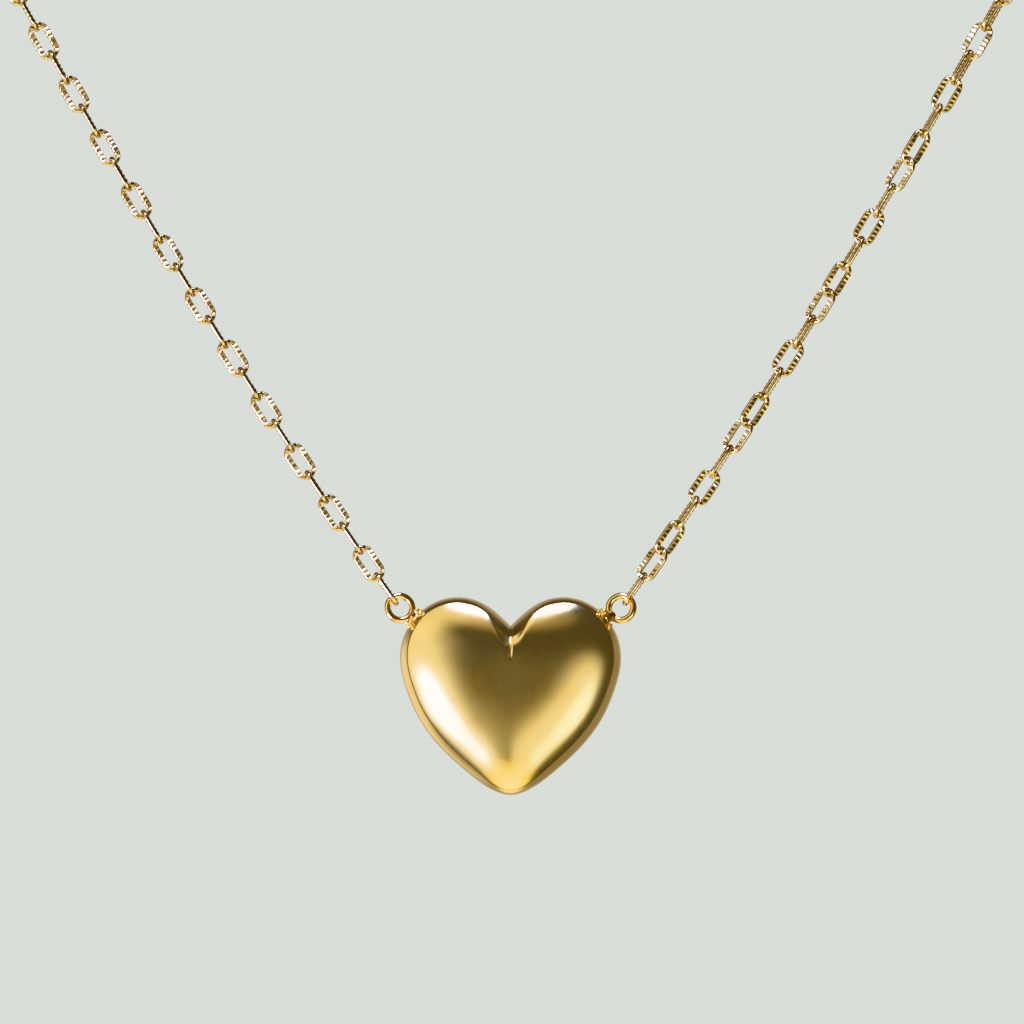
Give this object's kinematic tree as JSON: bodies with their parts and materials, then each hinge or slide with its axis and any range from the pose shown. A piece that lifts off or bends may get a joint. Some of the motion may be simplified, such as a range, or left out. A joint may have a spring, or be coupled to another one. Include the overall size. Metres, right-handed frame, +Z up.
{
  "type": "heart pendant necklace",
  "caption": "Puffed heart pendant held in line by small soldered rings on a fine flat-link cable chain, closed by a plain barrel clasp at the nape.",
  "frame": {"origin": "the nape point, on the neck side of the clasp's barrel, where the hanging necklace is held up", "axes": "+Z up, +Y from the breast back to the nape, +X to the right seen from the front, along the clasp's barrel"},
  "size_m": [0.1238, 0.0922, 0.1265],
  "materials": {
    "heart_gold": "soft polished yellow gold",
    "chain_gold": "bright diamond-cut yellow gold",
    "clasp_gold": "polished yellow gold"
  },
  "bodies": {
    "chain": {"chain_left": "chain_gold", "chain_right": "chain_gold", "clasp": "clasp_gold"},
    "heart": {"heart": "heart_gold"}
  },
  "joints": [
    {"name": "heart_swing", "type": "hinge", "parent": "chain", "child": "heart", "pos_m": [0, -0.0872, -0.112], "axis": [1, 0, 0], "range_deg": [-30, 30]}
  ]
}
